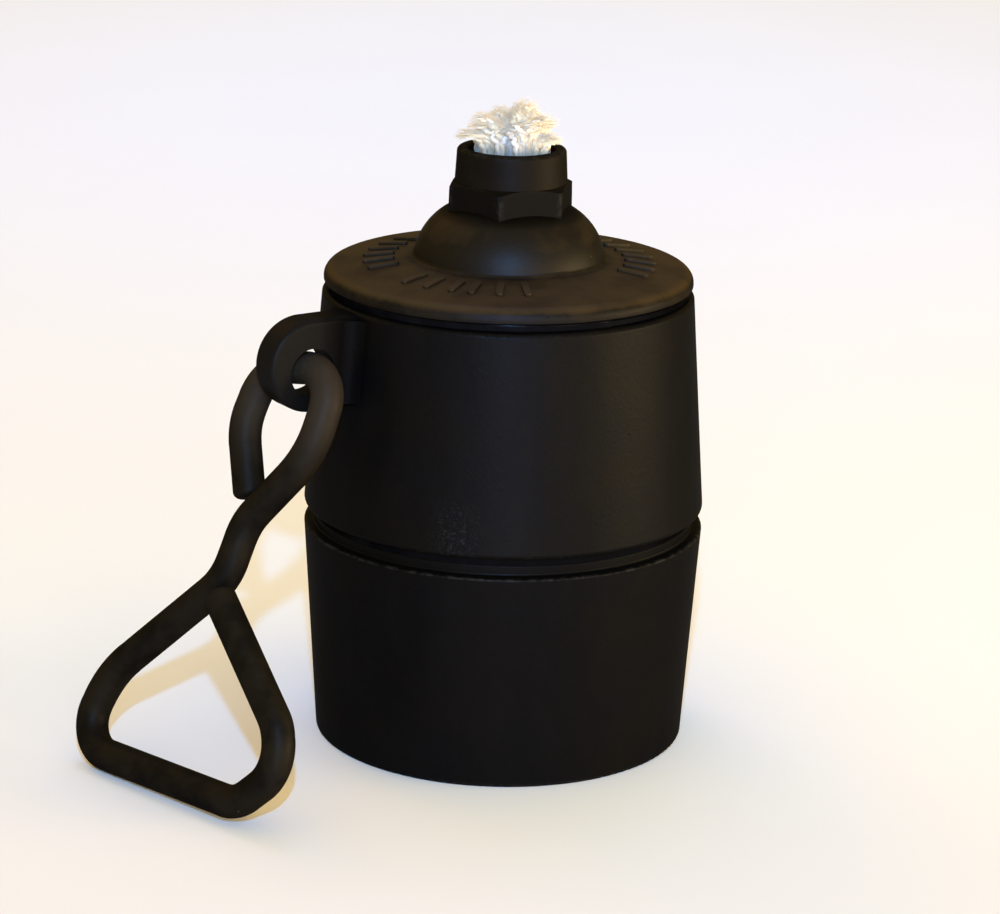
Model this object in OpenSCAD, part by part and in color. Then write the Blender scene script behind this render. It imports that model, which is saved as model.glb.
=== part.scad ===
// Cast-iron oil torch lamp of the kind used in railway sheds: a barrel of two shells screwed
// together, a screwed lid with a spanner hexagon and a wick spout, and a bent-bar carrying handle.
// Millimetres. The floor is z = 0, the lamp's axis is Z, and the handle's lug points along -X.

/* [Barrel] */
// Diameter of the foot
foot_d = 110; // [100:0.5:114]
// Height of the lower shell's lip above the floor
lip_h = 64.3; // [52:0.1:76]
// Diameter of the lower shell at its lip
lip_d = 118.2; // [115:0.1:123]
// Height of the open groove between the two shells
groove_h = 5.8; // [4:0.1:8]
// Depth of the groove
groove_depth = 3; // [1.5:0.1:3.6]
// Height of the upper shell
upper_h = 64.5; // [58:0.5:80]
// Diameter of the upper shell at its lower edge
skirt_d = 118.4; // [116:0.1:123]
// Diameter of the upper shell at its rim
rim_d = 108.7; // [107:0.1:114]
// Thickness of the cast side walls
wall = 5; // [4:0.1:5.6]
// Thickness of the cast floor
floor_t = 6; // [4:0.5:10]
// Thickness of the deck that closes the upper shell
deck_t = 7; // [5:0.5:10]
// Radius on the foot's edge
foot_round = 0.9; // [0.5:0.1:4]
// Radius on the upper shell's lower edge
skirt_round = 1.3; // [0.4:0.1:3]
// Radius on the upper shell's rim
rim_round = 1.5; // [0.3:0.1:2]
// Radius in the corner between floor and wall
inner_round = 6; // [1:0.5:10]

/* [Screw joints] */
// Width of the sealing ring between the shells
joint_seal_w = 4.6; // [3:0.1:6]
// Wall of the neck
neck_wall = 4.5; // [3:0.1:6]
// Core diameter of the lid's plug
plug_d = 74; // [70:0.5:80]
// Wall of the plug
plug_wall = 5.5; // [3:0.1:7]
// Room for the thread between core and bore
thread_depth = 1; // [0.6:0.1:1.2]
// Clearance outside the thread
thread_gap = 0.3; // [0.2:0.05:0.6]
// Pitch of both threads
thread_pitch = 3.175; // [2:0.025:3.5]
// Turns that each thread takes to come free
thread_turns = 4; // [3:0.5:4]
// Thickness of the sealing rings
seal_t = 2.6; // [1.5:0.1:3.2]
// How far a sealing ring's outer edge stands back from the casting over it
seal_inset = 0.9; // [0.3:0.1:1.5]
// How far the lid's sealing ring stands back from the mouth
seal_bore_gap = 1.8; // [0.5:0.1:5]

/* [Lug] */
// Distance of the lug's hole from the lamp's axis
lug_x = 68.7; // [68:0.1:72]
// Depth of the hole's centre below the rim
hole_drop = 15.8; // [14.8:0.1:20]
// Diameter of the hole
hole_d = 14.1; // [13:0.1:15]
// Radius of the lug's round end
lug_r = 13.4; // [12:0.1:14]
// How far the round end's centre stands above the hole's centre
lug_rise = 1.8; // [0:0.1:2]
// Thickness of the lug
lug_t = 10; // [7:0.5:11]
// Radius on the lug's edges
lug_round = 1.4; // [0.5:0.1:2.5]
// Radius of the fillets where the lug meets the shell
lug_fillet = 5.5; // [1:0.5:6]

/* [Lid] */
// Diameter of the lid's flange
lid_d = 108; // [104:0.5:110]
// Height of the flange's edge
edge_h = 4; // [3.6:0.1:7]
// Radius on the flange's upper edge
edge_round = 3.4; // [1:0.1:3.4]
// Rise of the flange from its edge to the dome
crown_rise = 3.2; // [0:0.1:6]
// Diameter of the dome at its foot
dome_d = 56.4; // [50:0.1:60]
// Height of the dome above the flange's underside
dome_h = 24; // [21:0.1:28]
// Radius of the dome's shoulder
dome_round = 19.1; // [8:0.1:19.6]
// Radius where the dome meets the flange
dome_fillet = 1.6; // [0.5:0.1:4]
// Width of the spanner hexagon across its flats
hex_af = 33; // [32.8:0.1:36]
// Diameter of the round that trims the hexagon's upper corners
hex_trim_d = 37.5; // [36.5:0.1:40]
// Height of the hexagon's top above the flange's underside
hex_h = 29.7; // [26.5:0.1:34]
// Turn of the hexagon's corners from the lug
hex_turn = 46.6; // [0:0.1:60]
// Height of the spout above the flange's underside
spout_h = 39.5; // [36:0.1:48]
// Diameter of the spout at its root
spout_root_d = 32.8; // [32:0.1:34]
// Diameter of the spout at its lip
spout_d = 31.7; // [30:0.1:32]
// Bore for the wick
bore_d = 25.6; // [24:0.1:26]
// Radius on the spout's lip
lip_round = 1.3; // [0.3:0.1:1.5]
// Length of the raised bars round the flange
bar_l = 9.5; // [4:0.5:12]
// Width of the raised bars
bar_w = 2; // [1:0.1:3]
// Height of the raised bars
bar_h = 0.9; // [0.4:0.1:1.5]
// Distance of the bars' middle from the axis
bar_x = 38.2; // [36:0.1:41]
// Angle between one bar and the next
bar_pitch = 11; // [6:1:20]
// Number of bars in the front group
bars_front = 7; // [1:1:8]
// Number of bars in the right group
bars_right = 6; // [1:1:7]
// Number of bars in each of the two groups at the back
bars_back = 3; // [1:1:3]

/* [Wick] */
// Clearance of the rope in the spout
wick_gap = 0.3; // [0.1:0.05:0.6]
// Clearance of the rope above the floor
wick_foot_gap = 0.6; // [0.3:0.1:5]
// Depth at which the rope's strands come loose, below the spout's lip
fray_depth = 3; // [1:0.5:8]
// Height of the frayed end above the lip
tuft_h = 14.3; // [6:0.1:20]
// Diameter of the frayed end
tuft_d = 29; // [26.5:0.1:31]

/* [Handle] */
// Diameter of the bar
handle_bar_d = 9.5; // [8:0.1:9.6]
// Width of the grip, between the middles of its bar
grip_w = 78.1; // [72:0.1:82]
// Height of the grip, up to the foot of the shank
grip_h = 59.4; // [57:0.1:64]
// Height of the bow in the grip's left side
bow_h = 22.4; // [20:0.1:25]
// Height of the knee in the grip's right side
grip_knee_h = 26.5; // [24:0.1:29]
// Height of the corner below the knee
grip_corner_h = 14.9; // [13:0.1:17]
// How far the corner by the floor is cut back
grip_corner_cut = 11.4; // [10:0.1:13]
// Radius of the grip's lower left bend
grip_bend_left = 10.5; // [8:0.1:11.5]
// Radius of the bow above it
grip_bow = 30; // [18:0.5:33]
// Radius of the bends that make the grip's right corner
grip_bend_right = 12.6; // [9:0.1:13.2]
// Length of the shank between grip and eye
shank_l = 17.3; // [12:0.1:21]
// Radius of the shank's bends
shank_bend = 17; // [10:0.5:20]
// Length of the eye, from the shank to the bar in the lug
eye_l = 46.5; // [44:0.1:52]
// Width of the eye, between the middles of its bar
eye_w = 29.3; // [27.5:0.1:31.5]
// Height of the eye's left side
eye_side_left = 20.4; // [19:0.1:22]
// Height of the eye's right side
eye_side_right = 22.5; // [20.5:0.1:25]
// Radius of the eye's upper left bend
eye_bend_left = 13; // [11:0.1:13.5]
// Radius of the eye's upper right bend
eye_bend_right = 10; // [10:0.1:12]
// Radius where the eye closes to the left
eye_knee_left = 20; // [12:0.5:24]
// Radius where the eye runs into the shank
eye_knee_right = 28; // [16:0.5:30]
// Gap between a free end of the bar and the bar that it closes on
end_gap = 0.4; // [0.3:0.1:2]
// How far the eye's free end stands behind the handle's plane
eye_end_back = 3; // [0:0.1:4]
// How far the grip's free end stands in front of the handle's plane
grip_end_front = 5; // [0:0.1:6]
// Radius on the bar's free ends
end_round = 2.2; // [0.3:0.1:3.5]
// Turn of the handle out of the lug's axis
handle_turn = 12; // [0:1:14]
// How far the bar in the lug stands from the eye's middle
eye_slip = 2; // [0:0.1:2.2]

/* [Hidden] */
$fn = 96;
iron = [0.09, 0.085, 0.08];
iron_lid = [0.13, 0.115, 0.1];
seal_black = [0.03, 0.03, 0.035];
cotton = [0.9, 0.87, 0.78];
// How far a straight piece of bar reaches into a bend, and how much thinner it is
bar_lap = 0.25;
bar_step = 0.04;

// Levels of the barrel, from the floor up
z_under = lip_h + groove_h;
z_seat = z_under - seal_t;
z_rim = z_under + upper_h;
z_lid = z_rim + seal_t;
z_spout = z_lid + spout_h;

// Both threads: a plug or neck that leaves its bore after thread_turns, with a little to spare
thread_spare = 1.2;
thread_l = thread_turns * thread_pitch + thread_spare;
bore_over_core = thread_depth + thread_gap;
z_neck = z_under + thread_l;
z_socket = z_neck + thread_spare;
plug_r = plug_d / 2;
z_plug = z_rim - thread_l;
mouth_r = plug_r + bore_over_core;
z_mouth = z_plug - thread_spare;
mouth_wall = 6;

// The upper shell's outer cone
function upper_r(z) = skirt_d / 2 + (rim_d - skirt_d) / 2 * (z - z_under) / upper_h;

// The groove's floor, a ledge that rises slightly inwards to a raised seat
ledge_rise = 0.4;
ledge_round = 0.5;
seat_r = min(lip_d, skirt_d) / 2 - groove_depth;
seat_edge = 0.2;
socket_r = seat_r - seat_edge - joint_seal_w;
neck_r = socket_r - bore_over_core;
shoulder_drop = 4;
shoulder_round = 2;

// The lug and the bar in its hole
hole_z = z_rim - hole_drop;
lug_z = hole_z + lug_rise;
bar_r = handle_bar_d / 2;
lug_foot_r = upper_r(lug_z - lug_r) - 0.6 * wall;
root_sink = 0.06;

// The lid's flange falls from the dome to its edge
edge_z = z_lid + edge_h;
crown_z = edge_z + crown_rise;
flange_fall = atan(crown_rise / ((lid_d - dome_d) / 2));
function flange_z(r) = edge_z + (lid_d / 2 - r) * tan(flange_fall);
hex_trim_flare = 2;
hex_chamfer_h = 1.1;
hex_chamfer_lap = 0.2;
hollow_foot_round = 2;
hollow_side_round = 1;
hollow_top_round = 3;
bore_flare = 0.6;
bar_groups = [[-55, bars_front], [110, bars_right], [192, bars_back], [222, bars_back]];

// Plane geometry for outlines whose corners are true arcs
function unit(v) = v / norm(v);
function flat(v) = [v[0], v[1]];
function cross2(a, b) = a[0] * b[1] - a[1] * b[0];
function left_of(v) = [-v[1], v[0]];
function bend(a, b, c) = acos(max(-1, min(1, unit(b - a) * unit(c - b))));
function setback(a, b, c, r) = r * tan(bend(a, b, c) / 2);
function arrive(a, b, c, r) = b - unit(b - a) * setback(a, b, c, r);
function leave(a, b, c, r) = b + unit(c - b) * setback(a, b, c, r);
function before(p, i) = p[(i + len(p) - 1) % len(p)];
function after(p, i) = p[(i + 1) % len(p)];
function outward(p, i) = cross2(p[i] - before(p, i), after(p, i) - p[i]) > 0;
function round_centre(p, i, r) =
    arrive(before(p, i), p[i], after(p, i), r)
    + left_of(unit(p[i] - before(p, i))) * r * (outward(p, i) ? 1 : -1);

// The part of a corner's rounding circle that lies between its two tangent points
module corner_sector(p, i, r) {
    a = before(p, i);
    b = p[i];
    c = after(p, i);
    centre = round_centre(p, i, r);
    intersection() {
        translate(centre) circle(r);
        polygon([arrive(a, b, c, r), b, leave(a, b, c, r), centre]);
    }
}

// A counter-clockwise outline whose corner i is rounded with radius r[i], outward or inward
module outline(p, r) {
    cut = [
        for (i = [0:len(p) - 1])
            each r[i] > 0
                ? [arrive(before(p, i), p[i], after(p, i), r[i]), leave(before(p, i), p[i], after(p, i), r[i])]
                : [p[i]]
    ];
    difference() {
        union() {
            polygon(cut);
            for (i = [0:len(p) - 1])
                if (r[i] > 0 && outward(p, i)) corner_sector(p, i, r[i]);
        }
        for (i = [0:len(p) - 1])
            if (r[i] > 0 && !outward(p, i)) corner_sector(p, i, r[i]);
    }
}

// An outline that is turned about Z; what a rounding puts across the axis is left out
module turned(p, r) {
    far = 1000;
    rotate_extrude() intersection() {
        outline(p, r);
        translate([0, -far / 2]) square([far, far]);
    }
}

// Turns a shape's axis from Z to the direction d
module point_along(d) {
    tilt = acos(max(-1, min(1, d[2] / norm(d))));
    rotate([0, tilt, atan2(d[1], d[0])]) children();
}

// A straight piece of round bar from a to b; it is a hair thinner than the bends that it reaches into
module bar_straight(a, b, r) {
    translate(a - unit(b - a) * bar_lap) point_along(b - a)
        cylinder(r = r - bar_step, h = norm(b - a) + 2 * bar_lap);
}

// A straight piece with a free end at a, its edge rounded
module bar_end(a, b, r, edge) {
    l = norm(b - a) + bar_lap;
    thin = r - bar_step;
    translate(a) point_along(b - a) turned([[0, 0], [thin, 0], [thin, l], [0, l]], [0, edge, 0, 0]);
}

// A bend of radius big at corner b of the path a, b, c
module bar_bend(a, b, c, big, r) {
    x = -unit(cross(cross(b - a, c - b), b - a));
    y = unit(b - a);
    z = cross(x, y);
    from = arrive(a, b, c, big);
    centre = from - x * big;
    turn = bend(a, b, c);
    multmatrix([
        [x[0], y[0], z[0], centre[0]],
        [x[1], y[1], z[1], centre[1]],
        [x[2], y[2], z[2], centre[2]],
        [0, 0, 0, 1]
    ])
        rotate_extrude(angle = turn) translate([big, 0]) circle(r);
}

// A round bar bent along the corners p with the bend radii big
module bent_bar(p, big, r, edge) {
    n = len(p);
    for (i = [1:n - 2]) bar_bend(p[i - 1], p[i], p[i + 1], big[i], r);
    for (i = [1:n - 3])
        bar_straight(leave(p[i - 1], p[i], p[i + 1], big[i]), arrive(p[i], p[i + 1], p[i + 2], big[i + 1]), r);
    bar_end(p[0], arrive(p[0], p[1], p[2], big[1]), r, edge);
    bar_end(p[n - 1], leave(p[n - 3], p[n - 2], p[n - 1], big[n - 2]), r, edge);
}

// The cup-shaped lower casting, with its seat and screwed neck
module lower_shell() {
    color(iron) rotate_extrude() outline(
        [
            [0, 0],
            [foot_d / 2, 0],
            [lip_d / 2, lip_h],
            [seat_r, lip_h + ledge_rise],
            [seat_r, z_seat],
            [neck_r, z_seat],
            [neck_r, z_neck],
            [neck_r - neck_wall, z_neck],
            [neck_r - neck_wall, lip_h - shoulder_drop],
            [lip_d / 2 - wall, lip_h - 2 * wall],
            [foot_d / 2 - wall, floor_t],
            [0, floor_t]
        ],
        [0, foot_round, ledge_round, ledge_round, 0.3, 0, 0.8, 0.8, shoulder_round, shoulder_round, inner_round, 0]
    );
}

// The ring that seals the joint between the shells
module joint_washer() {
    color(seal_black) translate([0, 0, z_seat]) rotate_extrude()
        translate([socket_r, 0]) square([joint_seal_w, seal_t]);
}

// The lug's plate, a round-ended bar with rounded edges
module lug_plate() {
    translate([-lug_x, 0, lug_z]) rotate([90, 0, 0])
        rotate_extrude() outline(
            [[0, -lug_t / 2], [lug_r, -lug_t / 2], [lug_r, lug_t / 2], [0, lug_t / 2]],
            [0, lug_round, lug_round, 0]
        );
    translate([-lug_x, 0, lug_z]) rotate([90, 0, 90])
        linear_extrude(lug_x - lug_foot_r) outline(
            [[-lug_t / 2, -lug_r], [lug_t / 2, -lug_r], [lug_t / 2, lug_r], [-lug_t / 2, lug_r]],
            [lug_round, lug_round, lug_round, lug_round]
        );
}

// The fillets on both sides of the lug, at the shell's wall
module lug_root() {
    half = lug_t / 2 + lug_fillet;
    wall_r = upper_r(lug_z) - root_sink;
    fillet_x = sqrt(pow(wall_r + lug_fillet, 2) - half * half);
    taper = atan((upper_r(lug_z - lug_r) - upper_r(lug_z + lug_r)) / (2 * lug_r));
    tall = 2 * (lug_r - lug_round);
    intersection() {
        translate([-lug_x, -half, lug_z - tall / 2]) cube([lug_x - lug_foot_r + wall, 2 * half, tall]);
        translate([-wall_r, 0, lug_z]) rotate([0, taper, 0]) translate([wall_r, 0, -2 * lug_r])
            linear_extrude(4 * lug_r) difference() {
                translate([-fillet_x, -half]) square([fillet_x - lug_foot_r, 2 * half]);
                for (s = [-1, 1]) translate([-fillet_x, s * half]) circle(lug_fillet);
            }
    }
}

// The upper casting, with its screwed socket below, its screwed mouth above and the handle's lug
module upper_shell() {
    z_in = z_socket + 3;
    color(iron) difference() {
        union() {
            rotate_extrude() outline(
                [
                    [socket_r, z_under],
                    [skirt_d / 2, z_under],
                    [rim_d / 2, z_rim],
                    [mouth_r, z_rim],
                    [mouth_r, z_mouth],
                    [mouth_r + mouth_wall, z_mouth],
                    [mouth_r + mouth_wall, z_rim - deck_t],
                    [rim_d / 2 - wall, z_rim - deck_t],
                    [upper_r(z_in) - wall, z_in],
                    [socket_r, z_socket]
                ],
                [0.6, skirt_round, rim_round, 0.5, 0.5, 1.5, 1.5, 1.5, 1.2, 0]
            );
            lug_plate();
            lug_root();
        }
        translate([-lug_x, 0, hole_z]) rotate([90, 0, 0]) cylinder(d = hole_d, h = 2 * lug_t, center = true);
    }
}

// The ring that seals the lid on the rim
module lid_washer() {
    r = lid_d / 2 - seal_inset;
    bore = mouth_r + seal_bore_gap;
    color(seal_black) translate([0, 0, z_rim]) rotate_extrude()
        outline([[bore, 0], [r, 0], [r, seal_t], [bore, seal_t]], [0, 0.7, 0.7, 0]);
}

// A raised bar with round ends, lying on the sloping flange at the angle a
module flange_bar(a) {
    half = (bar_l - bar_w) / 2;
    rotate([0, 0, a]) translate([bar_x, 0, flange_z(bar_x)]) rotate([0, flange_fall, 0])
        translate([0, 0, -bar_h]) linear_extrude(2 * bar_h) {
            square([2 * half, bar_w], center = true);
            for (s = [-1, 1]) translate([s * half, 0]) circle(d = bar_w);
        }
}

// The fillet that joins the dome, on its wall or its shoulder, to the sloping flange
module dome_foot() {
    f = dome_fillet;
    up = [sin(flange_fall), cos(flange_fall)];
    down = [cos(flange_fall), -sin(flange_fall)];
    shoulder = [dome_d / 2 - dome_round, z_lid + dome_h - dome_round];
    start = [dome_d / 2, crown_z] + up * f - shoulder;
    b = start * down;
    at_shoulder = shoulder + start + down * (sqrt(b * b - start * start + pow(dome_round + f, 2)) - b);
    at_wall = [dome_d / 2 + f, flange_z(dome_d / 2 + f) + f / cos(flange_fall)];
    on_wall = at_wall[1] < shoulder[1];
    centre = on_wall ? at_wall : at_shoulder;
    on_dome = on_wall ? centre - [f, 0] : shoulder + unit(centre - shoulder) * dome_round;
    on_flange = centre - up * f;
    rotate_extrude() difference() {
        polygon([on_dome, [on_dome[0] - f, on_flange[1] - f], on_flange, centre]);
        translate(centre) circle(f);
    }
}

// The lid's outside: flange, dome, hexagon and spout
module lid_body() {
    dome_top = z_lid + dome_h;
    rotate_extrude() outline(
        [[0, z_lid], [lid_d / 2, z_lid], [lid_d / 2, edge_z], [dome_d / 2, crown_z], [0, crown_z]],
        [0, 0.4, edge_round, 0, 0]
    );
    turned([[0, z_lid + 1], [dome_d / 2, z_lid + 1], [dome_d / 2, dome_top], [0, dome_top]], [0, 0, dome_round, 0]);
    dome_foot();
    intersection() {
        translate([0, 0, z_lid + dome_h / 2]) rotate([0, 0, hex_turn])
            cylinder(d = hex_af / cos(30), h = hex_h - dome_h / 2, $fn = 6);
        rotate_extrude() polygon([
            [0, z_lid],
            [hex_trim_d / 2 + hex_trim_flare, z_lid],
            [hex_trim_d / 2, z_lid + hex_h - hex_chamfer_h],
            [hex_af / 2 + hex_chamfer_lap, z_lid + hex_h],
            [0, z_lid + hex_h]
        ]);
    }
    rotate_extrude() outline(
        [
            [0, dome_top - 1],
            [spout_root_d / 2, dome_top - 1],
            [spout_root_d / 2, z_lid + hex_h],
            [spout_d / 2, z_spout],
            [0, z_spout]
        ],
        [0, 0, 0, lip_round, 0]
    );
    for (g = bar_groups)
        for (i = [0:g[1] - 1]) flange_bar(g[0] + i * bar_pitch);
    translate([0, 0, z_plug]) cylinder(r = plug_r, h = z_lid - z_plug + 1);
}

// The lid's hollow, from the plug's mouth up into the dome
module lid_hollow() {
    inner = dome_d / 2 - wall;
    inner_top = z_lid + dome_h - wall;
    turned(
        [
            [0, z_plug - 1],
            [plug_r - plug_wall, z_plug - 1],
            [plug_r - plug_wall, z_lid],
            [inner, z_lid + (dome_h - dome_round) / 2],
            [inner, inner_top],
            [0, inner_top]
        ],
        [0, 0, hollow_foot_round, hollow_side_round, max(hollow_top_round, dome_round - wall), 0]
    );
    translate([0, 0, z_lid]) cylinder(d = bore_d, h = spout_h + 1);
    translate([0, 0, z_spout - bore_flare]) cylinder(d1 = bore_d, d2 = bore_d + 4 * bore_flare, h = 2 * bore_flare);
}

// The lid, one casting
module lid() {
    color(iron_lid) difference() {
        lid_body();
        lid_hollow();
    }
}

// The wick below its frayed end
module wick_rope() {
    z_foot = floor_t + wick_foot_gap;
    color(cotton) translate([0, 0, z_foot])
        cylinder(d = bore_d - 2 * wick_gap, h = z_spout - fray_depth - z_foot);
}

// The frayed end: a lobed tuft that starts in the bore and spreads over the lip
tuft_sides = 48;
tuft_rings = 12;
tuft_neck = bore_d / 2 - wick_gap - 0.1;
function lobes(a) = 0.6 * sin(5 * a + 30) + 0.4 * sin(8 * a + 100);
function tuft_high(a) = 1 + 0.16 * cos(a + 20) + 0.08 * sin(3 * a);
function tuft_point(a, up) =
    let (
        swell = 1 + 0.09 * lobes(a) * sin(2 * up),
        r = tuft_d / 2 * pow(cos(up), 0.75) * swell,
        z = z_spout + wick_gap + 0.2 + tuft_h / 1.16 * sin(up) * (1 + (tuft_high(a) - 1) * cos(up))
    )
    [r * cos(a), r * sin(a), z];
module wick_tuft() {
    rows = [
        for (i = [0:tuft_rings + 1])
            [
                for (k = [0:tuft_sides - 1])
                    let (a = 360 * k / tuft_sides)
                    i == 0 ? [tuft_neck * cos(a), tuft_neck * sin(a), z_spout - fray_depth]
                    : i == 1 ? [tuft_neck * cos(a), tuft_neck * sin(a), z_spout + wick_gap]
                    : tuft_point(a, (i - 2) * 88 / (tuft_rings - 1))
            ]
    ];
    n = tuft_sides;
    last = len(rows) - 1;
    top = [for (row = rows) each row];
    color(cotton) polyhedron(
        points = concat(top, [[0, 0, z_spout - fray_depth], [0, 0, rows[last][0][2]]]),
        faces = concat(
            [for (k = [0:n - 1]) [len(top), k, (k + 1) % n]],
            [for (i = [0:last - 1], k = [0:n - 1]) [i * n + k, (i + 1) * n + k, (i + 1) * n + (k + 1) % n]],
            [for (i = [0:last - 1], k = [0:n - 1]) [i * n + k, (i + 1) * n + (k + 1) % n, i * n + (k + 1) % n]],
            [for (k = [0:n - 1]) [len(top) + 1, last * n + (k + 1) % n, last * n + k]]
        )
    );
}

// The handle's bar, from the eye's free end to the grip's free end, bent by hand and not quite even.
// x runs across the handle, y up it from the grip's bar, z out of its plane; x = 0 is the shank's middle.
handle_len = grip_h + shank_l + eye_l;
// How far the grip, the eye and the shank's ends stand to the right of the middle
grip_shift = 1.2;
eye_shift = 2.55;
shank_foot_shift = -1.3;
shank_top_shift = 0.1;
// How far the eye's top slopes: its rear corner drops and its front corner rises
eye_rear_drop = 2.2;
eye_front_rise = 2.6;
// How far single corners stray outwards, inwards, down or up
knee_left_out = 0.4;
eye_top_in = 1.85;
bow_in = 2.2;
grip_foot_out = 2.6;
grip_foot_drop = 0.4;
grip_foot_rise = 1.4;
grip_corner_out = 2.5;
grip_knee_in = 2.6;

grip_left = grip_shift - grip_w / 2;
grip_right = grip_shift + grip_w / 2;
eye_left = eye_shift - eye_w / 2;
eye_right = eye_shift + eye_w / 2;
shank_foot = [shank_foot_shift, grip_h];
shank_top = [shank_top_shift, grip_h + shank_l];
knee_left = [eye_left - knee_left_out, handle_len - eye_side_left];
knee_right = [eye_right, handle_len - eye_side_right];
bow = [grip_left + bow_in, bow_h];
grip_knee = [grip_right - grip_knee_in, grip_knee_h];
eye_end_dir = unit([0.38, -0.925]);
grip_end_dir = unit([-0.772, 0.636]);

// How far a bar runs from p along d until its end's nearer edge is end_gap away from the bar a to b
function run_to(p, d, a, b) =
    let (n = left_of(unit(b - a)), side = sign(n * (p - a)))
    (end_gap + bar_r * (1 + abs(cross2(n, d))) - side * (n * (p - a))) / (side * (n * d));
function raise(p, z) = [p[0], p[1], z];
eye_end = knee_left + eye_end_dir * run_to(knee_left, eye_end_dir, shank_top, knee_right);
grip_end = grip_knee + grip_end_dir * run_to(grip_knee, grip_end_dir, bow, shank_foot);

handle_path = [
    raise(eye_end, -eye_end_back),
    raise(knee_left, 0),
    [eye_left + eye_top_in, handle_len - eye_rear_drop, 0],
    [eye_right, handle_len + eye_front_rise, 0],
    raise(knee_right, 0),
    raise(shank_top, 0),
    raise(shank_foot, 0),
    raise(bow, 0),
    [grip_left - grip_foot_out, -grip_foot_drop, 0],
    [grip_right - grip_corner_cut, grip_foot_rise, 0],
    [grip_right + grip_corner_out, grip_corner_h, 0.24 * grip_end_front],
    raise(grip_knee, 0.46 * grip_end_front),
    raise(grip_end, grip_end_front)
];
handle_bends = [
    0,
    eye_knee_left,
    eye_bend_left,
    eye_bend_right,
    eye_knee_right,
    shank_bend,
    shank_bend,
    grip_bow,
    grip_bend_left,
    grip_bend_right,
    grip_bend_right,
    grip_bend_right,
    0
];

// The handle leans until the lowest point of its grip rests on the floor, or hangs straight above it
low_corner = 8;
handle_low = round_centre([for (q = handle_path) flat(q)], low_corner, grip_bend_left)[1] - grip_bend_left;
handle_lean = acos(min(1, (hole_z - bar_r) / (handle_len - handle_low)));

// The carrying handle, one bent bar hung in the lug and leaning on the floor
module handle() {
    color(iron)
        translate([-lug_x, 0, hole_z]) rotate([0, 0, handle_turn - 90]) rotate([90 - handle_lean, 0, 0])
            translate([-eye_shift - eye_slip, -handle_len, 0])
                bent_bar(handle_path, handle_bends, bar_r, end_round);
}

lower_shell();
joint_washer();
upper_shell();
lid_washer();
lid();
wick_rope();
wick_tuft();
handle();
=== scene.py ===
"""Looks of a railway torch lamp, laid out as a Blender add-on and run as a script.

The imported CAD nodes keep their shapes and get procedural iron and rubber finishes. The screw threads and the
cotton wick are pieces of their own, worked out with numpy. Lengths are metres, in the frame of the CAD model:
the floor is z = 0, the lamp's axis is Z, and the lug points along -X.
"""

import math
from collections import namedtuple

import bpy
import numpy as np
from mathutils import Matrix, Vector


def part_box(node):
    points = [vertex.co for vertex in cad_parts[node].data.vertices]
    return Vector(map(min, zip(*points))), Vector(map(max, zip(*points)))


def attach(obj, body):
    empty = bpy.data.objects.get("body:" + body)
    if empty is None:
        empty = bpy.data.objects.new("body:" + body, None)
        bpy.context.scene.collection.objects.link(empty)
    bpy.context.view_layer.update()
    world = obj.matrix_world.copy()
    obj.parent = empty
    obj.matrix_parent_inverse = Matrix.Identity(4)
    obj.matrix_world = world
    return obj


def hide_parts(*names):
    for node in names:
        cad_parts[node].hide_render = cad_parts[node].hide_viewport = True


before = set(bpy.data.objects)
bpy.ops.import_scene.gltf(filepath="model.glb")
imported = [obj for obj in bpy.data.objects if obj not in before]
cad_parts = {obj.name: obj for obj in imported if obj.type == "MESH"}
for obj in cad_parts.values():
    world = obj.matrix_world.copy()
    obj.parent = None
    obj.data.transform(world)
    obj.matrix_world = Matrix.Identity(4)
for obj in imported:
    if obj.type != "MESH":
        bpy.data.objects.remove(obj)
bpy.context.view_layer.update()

bl_info = {
    "name": "Railway torch lamp",
    "version": (1, 0, 0),
    "blender": (4, 5, 0),
    "location": "3D View > Sidebar > Torch lamp",
    "description": "Dresses the packed torch lamp in iron, rubber and cotton and sets its stage",
    "category": "Object",
}

MM = 0.001
TURN = 2 * math.pi

# Levels of the lamp, read from the frame: the joint's seat, the upper casting's lower edge, the neck's top,
# the rim, the lid's underside, the plug's foot, the spout's lip, and both ends of the rope
Z_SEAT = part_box("joint_washer")[0].z
Z_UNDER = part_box("upper_shell")[0].z
Z_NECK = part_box("lower_shell")[1].z
Z_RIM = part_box("upper_shell")[1].z
Z_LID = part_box("lid_washer")[1].z
Z_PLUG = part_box("lid")[0].z
Z_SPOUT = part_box("lid")[1].z
Z_ROPE_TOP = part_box("wick_rope")[1].z
Z_ROPE_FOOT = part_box("wick_rope")[0].z

# Barrel: radii of the screw joint, radius and level of the lower casting's lip, radii of the upper casting's
# skirt and rim and of the inner wall, and thickness of the oil space's floor
NECK_R = 50.0 * MM
SOCKET_R = 51.3 * MM
LIP_R = 59.1 * MM
LIP_Z = 64.3 * MM
SKIRT_R = 59.2 * MM
RIM_R = 54.35 * MM
INNER_R = 53.4 * MM
FLOOR_T = 6.0 * MM

# Lug: its hole's centre, the place where it grows out of the upper casting, and half its width there
HOLE = (-68.7 * MM, 0.0, 118.8 * MM)
LUG_ROOT_X = -53.0 * MM
LUG_HALF = 6.0 * MM

# Lid: radii of the plug, its mouth, its hollow and the flange, height of the flange's edge, rise of the
# flange to the dome, the dome's radius, radius of the bars' middles and half their length, radius of the
# hexagon's flats, its middle's height over the flange's underside, and the bore's radius
PLUG_R = 37.0 * MM
MOUTH_R = 38.3 * MM
HOLLOW_R = 31.0 * MM
LID_R = 54.0 * MM
EDGE_H = 4.0 * MM
CROWN_RISE = 3.2 * MM
DOME_R = 28.2 * MM
BARS_R = 38.2 * MM
BARS_HALF = 5.2 * MM
HEX_FLAT_R = 16.5 * MM
HEX_MIDDLE = 24.5 * MM
BORE_R = 12.8 * MM

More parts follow.
